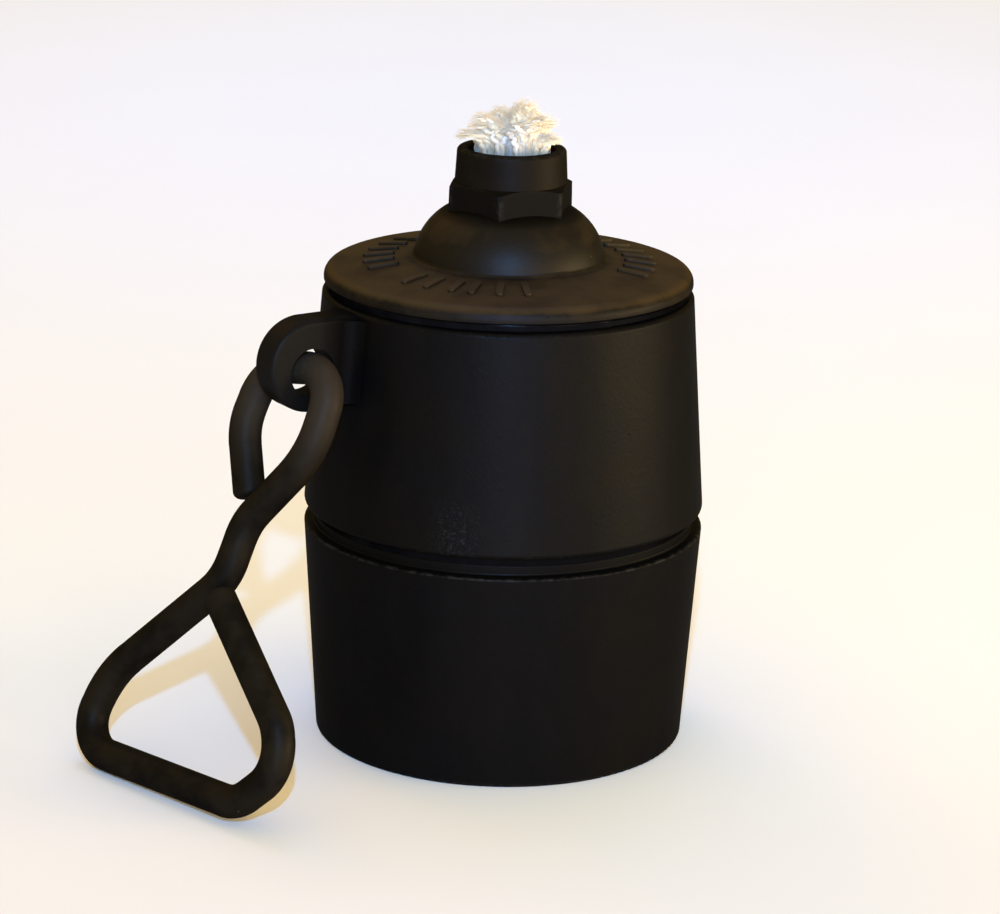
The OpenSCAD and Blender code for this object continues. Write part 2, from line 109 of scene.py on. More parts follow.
# Place of a rough, rubbed patch low on the upper casting, and height of one ring that the lathe's tool leaves
PATCH_TURN = math.radians(-136.5)
PATCH_Z = 77.0 * MM
TOOL_RING = 0.4 * MM

# How far the floor lies under the foot
FLOOR_DROP = 0.02 * MM

# A dark satin glaze over part of a finish: its share, tone, grey of its grazing edge and roughness
Glaze = namedtuple("Glaze", "share tone edge roughness")
BARREL_GLAZE = Glaze(0.13, (0.03, 0.03, 0.034), 0.62, 0.42)
LID_GLAZE = Glaze(0.36, (0.036, 0.034, 0.036), 0.5, 0.5)
BAR_GLAZE = Glaze(0.15, (0.03, 0.029, 0.028), 0.5, 0.5)
SEAL_GLAZE = Glaze(0.08, (0.03, 0.03, 0.035), 0.2, 0.2)


# Sizes and colours that a user would change


class LampIron(bpy.types.PropertyGroup):
    """Colours and roughness of the iron pieces."""

    barrel: bpy.props.FloatVectorProperty(
        name="Barrel",
        description="Matt black of the two barrel castings",
        subtype="COLOR",
        default=(0.0024, 0.0022, 0.0024),
    )
    barrel_brown: bpy.props.FloatVectorProperty(
        name="Barrel, brown",
        description="Browner patches of the barrel",
        subtype="COLOR",
        default=(0.0031, 0.0025, 0.002),
    )
    lid: bpy.props.FloatVectorProperty(
        name="Lid",
        description="Brown black of the lid",
        subtype="COLOR",
        default=(0.042, 0.026, 0.0104),
    )
    lid_dark: bpy.props.FloatVectorProperty(
        name="Lid, dark",
        description="Darker patches of the lid",
        subtype="COLOR",
        default=(0.004, 0.003, 0.002),
    )
    bar: bpy.props.FloatVectorProperty(
        name="Handle",
        description="Black of the bent bar",
        subtype="COLOR",
        default=(0.0088, 0.0066, 0.0041),
    )
    # On the lid's hexagon corners, spout lip and flange edge this grey also serves as a painted highlight
    worn: bpy.props.FloatVectorProperty(
        name="Worn edge",
        description="Grey of edges where the black has rubbed off",
        subtype="COLOR",
        default=(0.09, 0.086, 0.082),
    )
    bar_rubbed: bpy.props.FloatVectorProperty(
        name="Handle, rubbed",
        description="Browner bar where it hangs in the lug",
        subtype="COLOR",
        default=(0.03, 0.0225, 0.016),
    )
    bare: bpy.props.FloatVectorProperty(
        name="Bare iron",
        description="Machined iron of the screw joints",
        subtype="COLOR",
        default=(0.2, 0.19, 0.175),
    )
    oiled: bpy.props.FloatVectorProperty(
        name="Oiled iron",
        description="Inner walls, stained by lamp oil",
        subtype="COLOR",
        default=(0.035, 0.022, 0.012),
    )
    dust: bpy.props.FloatVectorProperty(
        name="Dust",
        description="Pale specks on the upper faces",
        subtype="COLOR",
        default=(0.55, 0.5, 0.4),
    )
    roughness: bpy.props.FloatProperty(
        name="Roughness",
        description="Roughness of the matt black",
        subtype="FACTOR",
        min=0,
        max=1,
        default=0.48,
    )


class LampThread(bpy.types.PropertyGroup):
    """The screw threads of the barrel and the lid."""

    pitch: bpy.props.FloatProperty(
        name="Pitch",
        description="Rise of both threads in one turn",
        unit="LENGTH",
        precision=5,
        default=3.175 * MM,
    )
    height: bpy.props.FloatProperty(
        name="Height",
        description="Height of the thread's ridge",
        unit="LENGTH",
        precision=5,
        default=1.0 * MM,
    )
    root: bpy.props.FloatProperty(
        name="Root width",
        description="Width of the ridge at its root",
        unit="LENGTH",
        precision=5,
        default=1.75 * MM,
    )
    crest: bpy.props.FloatProperty(
        name="Crest width",
        description="Width of the ridge at its crest",
        unit="LENGTH",
        precision=5,
        default=0.7 * MM,
    )


class LampWick(bpy.types.PropertyGroup):
    """The cotton wick and its frayed end."""

    cream: bpy.props.FloatVectorProperty(
        name="Cream",
        description="Cream of the cotton",
        subtype="COLOR",
        default=(0.86, 0.71, 0.47),
    )
    # This white also serves as painted light on the front clump's strands
    white: bpy.props.FloatVectorProperty(
        name="White",
        description="White of the cleanest strands",
        subtype="COLOR",
        default=(0.66, 0.655, 0.67),
    )
    plaits: bpy.props.IntProperty(
        name="Plaits",
        description="Strands that run each way round the rope",
        min=4,
        max=16,
        default=8,
    )
    lay: bpy.props.FloatProperty(
        name="Lay",
        description="Rise from one plait to the next",
        unit="LENGTH",
        precision=5,
        default=9.0 * MM,
    )
    plait_depth: bpy.props.FloatProperty(
        name="Plait depth",
        description="Depth of the grooves between plaits",
        unit="LENGTH",
        precision=5,
        default=1.1 * MM,
    )
    yarns: bpy.props.IntProperty(
        name="Yarns",
        description="Crinkled yarns in the frayed end",
        min=20,
        max=400,
        default=300,
    )
    fibres: bpy.props.IntProperty(
        name="Fibres",
        description="Loose fibres round the yarns",
        min=0,
        max=3000,
        default=2500,
    )
    seed: bpy.props.IntProperty(
        name="Seed",
        description="Start of the wick's random numbers",
        default=17,
    )


class LampStage(bpy.types.PropertyGroup):
    """Camera, floor and lamps."""

    distance: bpy.props.FloatProperty(
        name="Distance",
        description="Camera to the foot's centre",
        unit="LENGTH",
        default=1.07,
    )
    azimuth: bpy.props.FloatProperty(
        name="Azimuth",
        description="Side that the camera stands on",
        subtype="ANGLE",
        default=math.radians(-33.5),
    )
    elevation: bpy.props.FloatProperty(
        name="Elevation",
        description="Height of the camera over the foot",
        subtype="ANGLE",
        default=math.radians(20.602),
    )
    pitch: bpy.props.FloatProperty(
        name="Pitch",
        description="How far the camera looks down",
        subtype="ANGLE",
        default=math.radians(16.323),
    )
    yaw: bpy.props.FloatProperty(
        name="Yaw",
        description="How far the camera looks to the left",
        subtype="ANGLE",
        default=math.radians(0.073),
    )
    roll: bpy.props.FloatProperty(
        name="Roll",
        description="Tilt of the picture",
        subtype="ANGLE",
        default=math.radians(-1.398),
    )
    lens: bpy.props.FloatProperty(
        name="Lens",
        description="Focal length on a 36 mm wide sensor, in millimetres",
        default=126.71,
    )
    floor: bpy.props.FloatVectorProperty(
        name="Floor",
        description="Pale paper under the lamp",
        subtype="COLOR",
        default=(0.768, 0.802, 0.862),
    )
    # The near and far paper colours are painted light: they stand in for the room's uneven light on the floor
    floor_near: bpy.props.FloatVectorProperty(
        name="Floor, near",
        description="Paper nearer to the camera",
        subtype="COLOR",
        default=(0.69, 0.667, 0.687),
    )
    floor_far: bpy.props.FloatVectorProperty(
        name="Floor, far",
        description="Paper far behind the lamp",
        subtype="COLOR",
        default=(0.759, 0.78, 0.762),
    )
    room: bpy.props.FloatVectorProperty(
        name="Room",
        description="Light that comes from all round",
        subtype="COLOR",
        default=(1.03, 0.76, 0.21),
    )
    flash: bpy.props.FloatVectorProperty(
        name="Flash",
        description="Cool light from above the camera",
        subtype="COLOR",
        default=(0.16, 0.486, 1.0),
    )
    front: bpy.props.FloatVectorProperty(
        name="Front lamp",
        description="Soft low light from in front",
        subtype="COLOR",
        default=(0.85, 0.83, 1.0),
    )
    right: bpy.props.FloatVectorProperty(
        name="Right lamp",
        description="Soft low light from the right",
        subtype="COLOR",
        default=(1.0, 0.77, 0.38),
    )
    rear: bpy.props.FloatVectorProperty(
        name="Rear lamp",
        description="Warm light from behind",
        subtype="COLOR",
        default=(1.0, 0.46, 0.1),
    )
    far: bpy.props.FloatVectorProperty(
        name="Far lamp",
        description="Cool light on the floor behind",
        subtype="COLOR",
        default=(0.0, 0.29, 1.0),
    )


class LampSettings(bpy.types.PropertyGroup):
    """All settings of the lamp's looks."""

    iron: bpy.props.PointerProperty(type=LampIron)
    thread: bpy.props.PointerProperty(type=LampThread)
    wick: bpy.props.PointerProperty(type=LampWick)
    stage: bpy.props.PointerProperty(type=LampStage)


# Shader maths as expressions


class Wire:
    """One output of a node. Its operators add Math nodes. For +, - and * a plain number may stand first."""

    def __init__(self, finish, socket):
        self.finish = finish
        self.socket = socket

    def __add__(self, other):
        return self.finish.math("ADD", self, other)

    def __radd__(self, other):
        return self.finish.math("ADD", other, self)

    def __sub__(self, other):
        return self.finish.math("SUBTRACT", self, other)

    def __rsub__(self, other):
        return self.finish.math("SUBTRACT", other, self)

    def __mul__(self, other):
        return self.finish.math("MULTIPLY", self, other)

    def __rmul__(self, other):
        return self.finish.math("MULTIPLY", other, self)

    def __truediv__(self, other):
        return self.finish.math("DIVIDE", self, other)


class Finish:
    """One material, of which a share may be a dark satin glaze. Most of its methods add nodes and return the
    wire that comes out of them."""

    def __init__(self, name, colour, glaze=None, **constants):
        self.material = bpy.data.materials.new(name)
        self.material.use_nodes = True
        self.material.diffuse_color = (*colour, 1)
        self.nodes = self.material.node_tree.nodes
        self.links = self.material.node_tree.links
        self.nodes.clear()
        self.shader = self.nodes.new("ShaderNodeBsdfPrincipled")
        result = self.nodes.new("ShaderNodeOutputMaterial")
        for socket, value in constants.items():
            self.shader.inputs[socket.replace("_", " ")].default_value = value
        self.coats = [self.shader]
        if glaze:
            satin = self.nodes.new("ShaderNodeBsdfPrincipled")
            satin.inputs["Metallic"].default_value = 1.0
            satin.inputs["Base Color"].default_value = (*glaze.tone, 1)
            satin.inputs["Specular Tint"].default_value = (glaze.edge, glaze.edge, glaze.edge, 1)
            satin.inputs["Roughness"].default_value = glaze.roughness
            self.glazing = self.nodes.new("ShaderNodeMixShader")
            self.glazing.inputs[0].default_value = glaze.share
            self.links.new(self.shader.outputs[0], self.glazing.inputs[1])
            self.links.new(satin.outputs[0], self.glazing.inputs[2])
            self.links.new(self.glazing.outputs[0], result.inputs[0])
            self.coats.append(satin)
        else:
            self.links.new(self.shader.outputs[0], result.inputs[0])
        self.place = self.node("ShaderNodeTexCoord", out="Object")
        self.x, self.y, self.z = (
            self.node("ShaderNodeSeparateXYZ", values={0: self.place}, out=k) for k in range(3)
        )
        self.r = self.math("SQRT", self.x * self.x + self.y * self.y)

    def node(self, kind, settings=None, values=None, out=0):
        """Adds a node, sets its settings, then its sockets' values or links. Returns one output's wire."""
        made = self.nodes.new(kind)
        for name, value in (settings or {}).items():
            setattr(made, name, value)
        for key, value in (values or {}).items():
            if isinstance(value, Wire):
                self.links.new(value.socket, made.inputs[key])
            else:
                made.inputs[key].default_value = value
        return Wire(self, made.outputs[out])

    def math(self, operation, a, b=None):
        values = {0: a} if b is None else {0: a, 1: b}
        return self.node("ShaderNodeMath", {"operation": operation}, values)

    def mix(self, share, a, b):
        """Colour a, or b where share is 1."""
        a, b = ((*c, 1) if not isinstance(c, Wire) else c for c in (a, b))
        return self.node("ShaderNodeMix", {"data_type": "RGBA"}, {0: share, 6: a, 7: b}, out=2)

    def tint(self, a, b):
        """Colour a times colour b."""
        settings = {"data_type": "RGBA", "blend_type": "MULTIPLY"}
        return self.node("ShaderNodeMix", settings, {0: 1.0, 6: a, 7: b}, out=2)

    def rise(self, value, low, high):
        """0 below low, 1 above high, and a smooth step between; with low over high it falls instead."""
        return self.node(
            "ShaderNodeMapRange",
            {"interpolation_type": "SMOOTHSTEP"},
            {"Value": value, "From Min": low, "From Max": high},
        )

    def near(self, value, at, half, soft):
        """1 within half of at, fading to 0 over soft."""
        return self.rise(self.math("ABSOLUTE", value - at), half + soft, half)

    def noise(self, grain, detail=2.0, rough=0.5, stretch=None):
        """Noise whose blotches are about grain metres wide."""
        where = self.place
        if stretch:
            where = self.node("ShaderNodeMapping", values={0: where, "Scale": stretch})
        values = {"Vector": where, "Scale": 1 / grain, "Detail": detail, "Roughness": rough}
        return self.node("ShaderNodeTexNoise", values=values)

    def dots(self, spacing, radius, keep):
        """Round dots in random places: one in each cell of the given spacing, of which a share is kept."""
        settings = {"feature": "F1"}
        values = {"Vector": self.place, "Scale": 1 / spacing}
        far = self.node("ShaderNodeTexVoronoi", settings, values, out="Distance")
        chance = self.node("ShaderNodeTexVoronoi", settings, values, out="Color")
        pick = self.node("ShaderNodeSeparateColor", values={0: chance}, out=0)
        size = self.node("ShaderNodeSeparateColor", values={0: chance}, out=1)
        edge = (size * 0.7 + 0.3) * (radius / spacing)
        return self.rise(far / edge, 1.0, 0.6) * self.rise(pick, 1 - keep, 1 - keep + 0.02)

    def attribute(self, name):
        """A number that the mesh keeps for each of its points."""
        return self.node("ShaderNodeAttribute", {"attribute_name": name}, out="Fac")

    def feed(self, **wires):
        """Links wires to the shader's sockets, whose names have _ in place of spaces."""
        for socket, wire in wires.items():
            self.links.new(wire.socket, self.shader.inputs[socket.replace("_", " ")])

    def glaze_by(self, share):
        """Lets the glaze's share change over the surface."""
        self.links.new(share.socket, self.glazing.inputs[0])

    def bump(self, height):
        """Small relief of every coat, from a height in millimetres."""
        bumped = self.node("ShaderNodeBump", values={"Strength": 1.0, "Distance": MM, "Height": height})
        for coat in self.coats:
            self.links.new(bumped.socket, coat.inputs["Normal"])

    def dress(self, *objects):
        """Puts the material into every slot of the objects."""
        for piece in objects:
            slots = piece.data.materials
            for k in range(len(slots)):
                slots[k] = self.material
            if not slots:
                slots.append(self.material)


def cast_skin(f, coarse=1.0):
    """Height of rough-cast iron in millimetres: slow swells, the sand's grain, fine grit and a few pits."""
    swell = f.noise(9 * MM, 2) * 0.05
    sand = f.noise(1.1 * MM, 3, 0.6) * (0.055 * coarse)
    grit = f.noise(0.35 * MM, 1) * (0.02 * coarse)
    pits = f.dots(5 * MM, 0.45 * MM, 0.3) * -0.14
    return swell + sand + grit + pits


def broken(f, mask, grain=1.5 * MM, low=0.42, high=0.6):
    """The mask, broken up by noise as chipping and rubbing leave it."""
    return mask * f.rise(f.noise(grain, 4, 0.65), low, high)


def tool_rings(f):
    """The lathe's rings on machined iron, from 0 to 1 and back once in each ring's height."""
    return f.math("SINE", f.z * (TURN / TOOL_RING)) * 0.5 + 0.5


# Meshes from arrays


def put_mesh(name, points, faces, material, layers=None):
    """A mesh object from an array of points and a list of face arrays, wound so that it faces outwards."""
    corners = [f[:, [0, k, k + 1]] for f in faces for k in range(1, f.shape[1] - 1)]
    a, b, c = (points[np.concatenate(corners)[:, k]] for k in range(3))
    if np.einsum("ij,ij->i", a, np.cross(b, c)).sum() < 0:
        faces = [f[:, ::-1] for f in faces]
    sizes = np.concatenate([np.full(len(f), f.shape[1]) for f in faces])
    mesh = bpy.data.meshes.new(name)
    mesh.vertices.add(len(points))
    mesh.vertices.foreach_set("co", points.astype(np.float32).ravel())
    mesh.loops.add(int(sizes.sum()))
    mesh.loops.foreach_set("vertex_index", np.concatenate([f.ravel() for f in faces]).astype(np.int32))
    mesh.polygons.add(len(sizes))
    mesh.polygons.foreach_set("loop_start", np.concatenate([[0], np.cumsum(sizes)[:-1]]).astype(np.int32))
    mesh.update(calc_edges=True)
    mesh.polygons.foreach_set("use_smooth", np.ones(len(sizes), bool))
    for layer, values in (layers or {}).items():
        mesh.attributes.new(layer, "FLOAT", "POINT").data.foreach_set("value", values.astype(np.float32))
    mesh.validate()
    mesh.materials.append(material)
    made = bpy.data.objects.new(name, mesh)
    bpy.context.scene.collection.objects.link(made)
    return made


def grid_quads(rows, columns):
    """Quads of a grid that is numbered row by row, with its last column joined to its first."""
    r = np.arange(rows - 1)[:, None]
    c = np.arange(columns)[None, :]
    n = (c + 1) % columns
    quads = [r * columns + c, r * columns + n, (r + 1) * columns + n, (r + 1) * columns + c]
    return np.stack(np.broadcast_arrays(*quads), -1).reshape(-1, 4)


def helical_ridge(base, side, low, high, lag, thread):
    """A screw thread's ridge. A point at angle a and section place (s, h) has the radius base + side * h, and
    the height pitch * a / one turn + lag + s. The section is a trapezium with a rounded crest, sunk into its
    wall, and h fades to nothing over the last third of a turn at either end."""
    half, crest, sunk = thread.root / 2, thread.crest / 2, 0.4 * MM
    steps_a_turn = 120
    shelf = 0.82 * thread.height
    across = np.array([-half, -half, -crest * 1.25, -crest * 0.8, crest * 0.8, crest * 1.25, half, half])
    depth = np.array([-sunk, 0, shelf, thread.height, thread.height, shelf, 0, -sunk])
    turns = (high - low) / thread.pitch
    a = ((low - lag) / thread.pitch + np.linspace(0, turns, int(turns * steps_a_turn))) * TURN
    level = (thread.pitch * a / TURN + lag)[:, None] + across
    ends = np.minimum(a - a[0], a[-1] - a) / (TURN / 3)
    fade = np.sin(np.clip(ends, 0, 1) * math.pi / 2)[:, None]
    radius = base + side * np.where(depth > 0, depth * fade, depth)
    points = np.stack([radius * np.cos(a)[:, None], radius * np.sin(a)[:, None], level], -1).reshape(-1, 3)
    columns = len(across)
    last = len(points) - columns
    caps = [np.arange(columns)[None, ::-1], last + np.arange(columns)[None, :]]
    return points, [grid_quads(len(a), columns), *caps]


def plaited_rope(radius, low, high, wick):
    """A round plait. Two sets of strands wind round it, with the phases p = n a + turn z / lay and
    q = n a - turn z / lay. Each set's ridge is the root of |cos(phase / 2)|, lifted where it passes over,
    which cos(p / 2) cos(q / 2) tells, and the surface is the higher of the two."""
    around, along = 192, 400
    a = np.linspace(0, TURN, around, endpoint=False)[None, :]
    z = np.linspace(low, high, along)[:, None]
    p = wick.plaits * a + TURN * z / wick.lay
    q = wick.plaits * a - TURN * z / wick.lay
    over = np.cos(p / 2) * np.cos(q / 2)
    first = np.sqrt(np.abs(np.cos(p / 2))) * (0.72 + 0.28 * over)
    second = np.sqrt(np.abs(np.cos(q / 2))) * (0.72 - 0.28 * over)
    r = radius - wick.plait_depth * (1 - np.maximum(first, second))
    points = np.stack([r * np.cos(a), r * np.sin(a), z + 0 * a], -1).reshape(-1, 3)
    points = np.concatenate([points, [[0, 0, low], [0, 0, high]]])
    ring = np.arange(around)
    following = (ring + 1) % around
    foot = np.stack([0 * ring + len(points) - 2, following, ring], -1)
    top = (along - 1) * around
    head = np.stack([0 * ring + len(points) - 1, top + ring, top + following], -1)
    return points, [grid_quads(along, around), foot, head]


def tubes(paths, radii, across):
    """Many tubes at once. A ring's point is path + radius * (cos a * side + sin a * top), where side and top
    are square to the path, and top to the strand's vector across. Each end closes on its path's end point."""
    strands, steps, sides = radii.shape
    along = np.gradient(paths, axis=1)
    along /= np.linalg.norm(along, axis=2, keepdims=True)
    top = np.cross(along, across[:, None, :])
    top /= np.linalg.norm(top, axis=2, keepdims=True)
    side = np.cross(top, along)
    a = TURN * np.arange(sides) / sides
    spoke = np.cos(a)[:, None] * side[:, :, None, :] + np.sin(a)[:, None] * top[:, :, None, :]
    points = (paths[:, :, None, :] + radii[..., None] * spoke).reshape(-1, 3)
    first = np.arange(strands) * steps * sides
    quads = (first[:, None, None] + grid_quads(steps, sides)).reshape(-1, 4)
    k = np.arange(sides)
    n = (k + 1) % sides
    root = len(points) + np.arange(strands)[:, None]
    tip = root + strands
    last = first + (steps - 1) * sides
    foot = np.stack(np.broadcast_arrays(root, first[:, None] + n, first[:, None] + k), -1).reshape(-1, 3)
    head = np.stack(np.broadcast_arrays(tip, last[:, None] + k, last[:, None] + n), -1).reshape(-1, 3)
    return np.concatenate([points, paths[:, 0], paths[:, -1]]), [quads, foot, head]


def strand_layer(values, steps, sides):
    """One value a strand, spread over the points that tubes() makes."""
    return np.concatenate([np.repeat(values, steps * sides), values, values])


# The frayed end, in millimetres. Each clump has its place across the picture, towards the camera and up from
# the spout's lip, and its radius. The shares say how many of the strands end in each. The strands start at
# the foot's level within its radius, and lie on the lip's top from its radius outwards.
CLUMPS = np.array(
    [
        (-9.0, 0.0, 5.6, 4.3),
        (-3.4, -4.5, 7.0, 4.2),
        (3.4, -3.2, 8.9, 4.6),
        (9.3, -1.0, 6.0, 3.8),
        (1.0, 4.6, 4.0, 4.2),
        (-14.2, 1.2, 2.2, 2.8),
        (12.4, 3.0, 1.8, 2.8),
        (6.2, 3.0, 5.4, 3.8),
        (-4.6, 2.6, 4.4, 3.6),
    ]
)
CLUMP_SHARE = np.array([0.18, 0.13, 0.17, 0.12, 0.09, 0.08, 0.06, 0.09, 0.08])
FRAY_FOOT = -2.6
FRAY_FOOT_R = 10.6
LIP_TOP_R = 12.4


def unit_rows(v):
    """Each row over its own length."""
    return v / np.linalg.norm(v, axis=-1, keepdims=True)


def frayed_paths(rng, count, steps, reach, crinkle, waves):
    """Paths of strands that start in the bore, turn towards a clump and end on a ball round it. A path is the
    curve (1-s)^2 foot + 2 s (1-s) knee + s^2 end, plus a crinkle of two waves square to it that grows along
    the strand. The left clumps' strands start nearer to the middle, and so cross the bore."""
    pick = rng.choice(len(CLUMPS), count, p=CLUMP_SHARE / CLUMP_SHARE.sum())
    clump = CLUMPS[pick]
    spread = rng.normal(0, 1, (count, 3))
    spread[:, 2] = np.abs(spread[:, 2]) * 0.8
    end = clump[:, :3] + unit_rows(spread) * clump[:, 3:] * rng.uniform(*reach, (count, 1))
    foot = clump[:, :2] * np.where(clump[:, :1] < -2, 0.36, 0.66) + rng.normal(0, 1.9, (count, 2))
    far = np.linalg.norm(foot, axis=1, keepdims=True)
    foot *= np.minimum(1, FRAY_FOOT_R / far)
    foot = np.concatenate([foot, np.full((count, 1), FRAY_FOOT)], 1)
    level = np.zeros(count)
    knee = foot + np.stack([level, level, 4.5 + 0.75 * end[:, 2]], 1)
    s = np.linspace(0, 1, steps)[None, :, None]
    path = (1 - s) ** 2 * foot[:, None] + 2 * s * (1 - s) * knee[:, None] + s**2 * end[:, None]
    outward = end - foot
    outward[:, 2] = 0
    outward = unit_rows(outward + 1e-6)
    across = np.stack([-outward[:, 1], outward[:, 0], level], 1)
    turn = rng.uniform(*waves, (count, 1, 1)) * TURN * s
    start = rng.uniform(0, TURN, (2, count, 1, 1))
    size = crinkle * rng.uniform(0.5, 1.3, (count, 1, 1)) * np.minimum(1, 2.2 * s)
    sideways = np.sin(turn + start[0]) * across[:, None]
    path += size * (sideways + np.cos(turn * 1.13 + start[1]) * outward[:, None])
    return path, across, pick


def clear_of_lip(path, thick):
    """Keeps the strands in the bore up to its lip, and on top of the lip outside it. A point's room from the
    axis opens by 14 mm over the first 1.8 mm above the lip."""
    flat = np.linalg.norm(path[..., :2], axis=-1, keepdims=True)
    room = BORE_R / MM - 0.5 - thick + 14 * np.clip((path[..., 2:] - 0.2) / 1.6, 0, 1)
    path[..., :2] *= np.minimum(1, room / np.maximum(flat, 1e-6))
    outside = np.clip((np.minimum(flat, room) - LIP_TOP_R) / 0.8, 0, 1)
    path[..., 2:] = np.maximum(path[..., 2:], (0.35 + thick) * outside - 9 * (1 - outside))
    return path


def picture_axes(azimuth):
    """Three rows in the lamp's frame: across the picture, towards the camera, and up."""
    c, s = math.cos(azimuth), math.sin(azimuth)
    return np.array([(c, s, 0), (s, -c, 0), (0, 0, 1)])


# Operators


class TORCH_OT_finish_barrel(bpy.types.Operator):
    """Gives the two barrel castings their matt black, worn edges, oiled inner walls and bare screw joints,
    with painted shade over the lower casting and at the lug's root
    """

    bl_idname = "torch.finish_barrel"
    bl_label = "Finish the barrel"

    def execute(self, context):
        iron = context.scene.torch_lamp.iron
        f = Finish("barrel iron", iron.barrel, BARREL_GLAZE, Specular_IOR_Level=0.0)
        blotch = f.noise(28 * MM, 3, 0.6)
        mottle = f.noise(4 * MM, 3, 0.6)
        smear = f.noise(9 * MM, 3, 0.6, (1, 1, 0.3))
        lower_casting_shade = f.rise(f.z, Z_UNDER, Z_SEAT)
        lug = f.rise(f.r, LIP_R + 5 * MM, LIP_R + 8 * MM)
        lug_root_shade = f.rise(f.x, LUG_ROOT_X + 3 * MM, LUG_ROOT_X) * f.near(f.y, 0, LUG_HALF, 6 * MM)
        lug_root_shade = lug_root_shade * f.near(f.r, LIP_R - 2 * MM, 1 * MM, 6 * MM)
        lug_root_shade = lug_root_shade * f.near(f.z, Z_RIM - 14 * MM, 12.5 * MM, 1 * MM)
        colour = f.mix(f.rise(blotch + (mottle - 0.5) * 0.3, 0.42, 0.66), iron.barrel, iron.barrel_brown)
        colour = f.mix(f.rise(smear, 0.45, 0.7) * 0.35, colour, (0.004, 0.0036, 0.0034))
        # Painted shade: the whole lower casting, up to the gap under the upper casting's edge, is darkened a
        # little
        colour = f.mix(lower_casting_shade * 0.15, colour, (0.001, 0.001, 0.001))
        colour = f.mix(lug * 0.6, colour, (0.008, 0.007, 0.0062))
        # Painted shade: the fillet at the lug's root is darkened, and its glaze is thinned there too
        colour = f.mix(lug_root_shade * 0.45, colour, (0.0005, 0.0005, 0.0005))
        f.glaze_by(BARREL_GLAZE.share - lug_root_shade * 0.06)

        lip = f.near(f.z, LIP_Z, 0.35 * MM, 0.35 * MM) * f.rise(f.r, LIP_R - 1.2 * MM, LIP_R - 0.5 * MM)
        skirt = f.near(f.z, Z_UNDER + 0.3 * MM, 0.3 * MM, 0.5 * MM)
        skirt = skirt * f.rise(f.r, SKIRT_R - 2 * MM, SKIRT_R - 0.7 * MM)
        rim = f.near(f.z, Z_RIM - 0.6 * MM, 0.3 * MM, 0.6 * MM) * f.near(f.r, RIM_R, 0.6 * MM, 1 * MM)
        foot = f.rise(f.z, 1.4 * MM, 0.3 * MM)
        edges = broken(f, lip, 2.5 * MM) * 0.2 + broken(f, skirt, low=0.5, high=0.7) * 0.12
        edges = edges + broken(f, rim, low=0.5, high=0.7) * 0.05 + broken(f, foot) * 0.2
        edges = f.math("MINIMUM", edges, 1.0)
        around = f.math("ARCTAN2", f.y, f.x)
        patch = f.near(around, PATCH_TURN, 0.0, 0.17) * f.near(f.z, PATCH_Z, 1 * MM, 12 * MM)
        patch = broken(f, patch, 2.2 * MM, 0.38, 0.52)
        grit = f.rise(f.noise(0.9 * MM, 3, 0.7), 0.52, 0.66)

        inner_wall = f.rise(f.r, INNER_R + 0.9 * MM, INNER_R)
        inner_wall = inner_wall * f.rise(f.z, FLOOR_T - 0.2 * MM, FLOOR_T + 0.2 * MM)
        inner_wall = inner_wall * f.rise(f.z, Z_RIM - 1 * MM, Z_RIM - 2 * MM)
        cut_low = f.rise(f.r, SOCKET_R + 0.7 * MM, SOCKET_R + 0.2 * MM)
        cut_low = cut_low * f.near(f.z, (Z_SEAT + Z_NECK) / 2, (Z_NECK - Z_SEAT) / 2 + 1.15 * MM, 0.4 * MM)
        cut_high = f.rise(f.r, MOUTH_R + 1.2 * MM, MOUTH_R + 0.6 * MM)
        cut_high = cut_high * f.rise(f.z, Z_PLUG - 2.6 * MM, Z_PLUG - 1.6 * MM)
        cut = f.math("MINIMUM", cut_low + cut_high, 1.0)
        colour = f.mix(edges * 0.6, colour, iron.worn)
        colour = f.mix(patch * grit * 0.16, colour, iron.worn)
        colour = f.mix(f.dots(13 * MM, 0.4 * MM, 0.3) * 0.16, colour, iron.dust)
        colour = f.mix(inner_wall, colour, iron.oiled)
        colour = f.mix(cut * (0.6 + mottle * 0.4), colour, iron.bare)

        pitted = f.noise(0.8 * MM, 3, 0.7) * 0.45 - 0.3
        f.feed(
            Base_Color=colour,
            Metallic=cut * 0.8 + edges * 0.3,
            Roughness=iron.roughness - 0.06 + mottle * 0.12 - inner_wall * 0.12 - cut * 0.1 + patch * 0.2,
        )
        f.bump(cast_skin(f) * (1 - cut * 0.85) + tool_rings(f) * cut * 0.01 + patch * pitted)
        f.dress(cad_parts["lower_shell"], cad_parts["upper_shell"])
        return {"FINISHED"}


